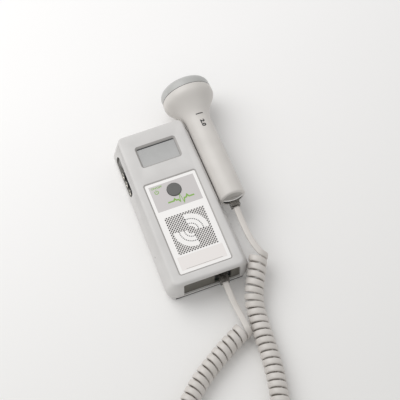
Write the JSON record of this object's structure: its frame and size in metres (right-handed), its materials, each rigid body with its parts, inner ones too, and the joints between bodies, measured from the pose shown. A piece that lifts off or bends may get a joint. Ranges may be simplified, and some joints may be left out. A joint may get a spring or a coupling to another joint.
{
  "type": "fetal doppler monitor",
  "caption": "Hand-held heart-sound monitor with a display, speaker and side sockets; a probe rests in a holder on its side, joined by a curly cord.",
  "frame": {"origin": "middle of the case's flat rear face", "axes": "+X towards the probe's side, +Y towards the display end, +Z out of the front face"},
  "size_m": [0.1625, 0.3871, 0.0446],
  "materials": {
    "case_plastic": "fine textured light grey ABS",
    "probe_plastic": "satin off-white ABS",
    "cap_plastic": "satin grey",
    "label_foil": "printed polyester foil",
    "window_plastic": "clear acrylic",
    "display_glass": "grey liquid crystal glass",
    "button_plastic": "satin dark grey",
    "wheel_plastic": "ribbed grey",
    "black_plastic": "moulded black",
    "dark_plastic": "moulded dark grey",
    "clear_plastic": "clear polycarbonate",
    "cord_vinyl": "flexible vinyl",
    "foam_rubber": "soft",
    "contact_rubber": "conductive strip",
    "cone_film": "pressed paper",
    "circuit_board": "solder mask",
    "component_can": "bare",
    "socket_metal": "nickel plated",
    "plated_steel": "zinc plated",
    "screw_steel": "zinc plated",
    "contact_brass": "gold plated",
    "cell_sleeve": "printed sleeve",
    "crystal_ceramic": "fired ceramic"
  },
  "bodies": {
    "case": {"front_shell": "case_plastic", "rear_shell": "case_plastic", "battery_cells": "cell_sleeve", "battery_terminals": "plated_steel", "battery_springs": "plated_steel", "front_label": "label_foil", "lcd_window": "window_plastic", "lcd_frame": "black_plastic", "lcd_glass": "display_glass", "lcd_strips": "contact_rubber", "switch_body": "black_plastic", "speaker_gasket": "foam_rubber", "speaker_frame": "plated_steel", "speaker_cone": "cone_film", "speaker_magnet": "plated_steel", "main_board": "circuit_board", "processor_chip": "black_plastic", "amplifier_chip": "black_plastic", "crystal_can": "component_can", "capacitors": "component_can", "jack_panel": "dark_plastic", "charger_jack": "socket_metal", "charger_pin": "socket_metal", "recorder_jack": "socket_metal", "headphone_jack": "socket_metal", "volume_pot": "black_plastic", "end_panel": "dark_plastic", "handset_jack": "dark_plastic", "handset_contacts": "contact_brass", "jack_board": "circuit_board", "case_screws": "screw_steel", "board_screws": "screw_steel", "probe_holder": "case_plastic", "holder_screws": "screw_steel", "unit_plug": "clear_plastic", "unit_plug_pins": "contact_brass", "unit_lead": "cord_vinyl", "probe_lead": "cord_vinyl", "cord_coil": "cord_vinyl"},
    "power_button": {"power_button": "button_plastic", "switch_plunger": "black_plastic"},
    "volume_wheel": {"volume_wheel": "wheel_plastic", "volume_shaft": "black_plastic", "wheel_screw": "screw_steel"},
    "battery_door": {"battery_door": "case_plastic"},
    "probe": {"probe_handle": "probe_plastic", "probe_cap": "cap_plastic", "probe_seal": "foam_rubber", "probe_crystals": "crystal_ceramic", "probe_backing": "foam_rubber", "probe_board": "circuit_board", "probe_chip": "black_plastic", "probe_jack": "dark_plastic", "probe_jack_contacts": "contact_brass", "probe_end_plate": "cap_plastic", "probe_plug": "clear_plastic", "probe_plug_pins": "contact_brass"}
  },
  "joints": [
    {"name": "power_button_press", "type": "slide", "parent": "case", "child": "power_button", "axis": [0, 0, -1], "range_m": [0, 0.0006], "stiffness_N_per_m": 800, "springref_m": -0.0006},
    {"name": "volume_wheel_turn", "type": "hinge", "parent": "case", "child": "volume_wheel", "pos_m": [-0.0247, 0.0541, 0.015], "axis": [0, 0, 1], "range_deg": [-135, 135]},
    {"name": "battery_door_slide", "type": "slide", "parent": "case", "child": "battery_door", "axis": [0, 1, 0], "range_m": [0, 0.066]},
    {"name": "probe_lift_out", "type": "slide", "parent": "case", "child": "probe", "axis": [0.4226, 0, 0.9063], "range_m": [0, 0.06]}
  ]
}
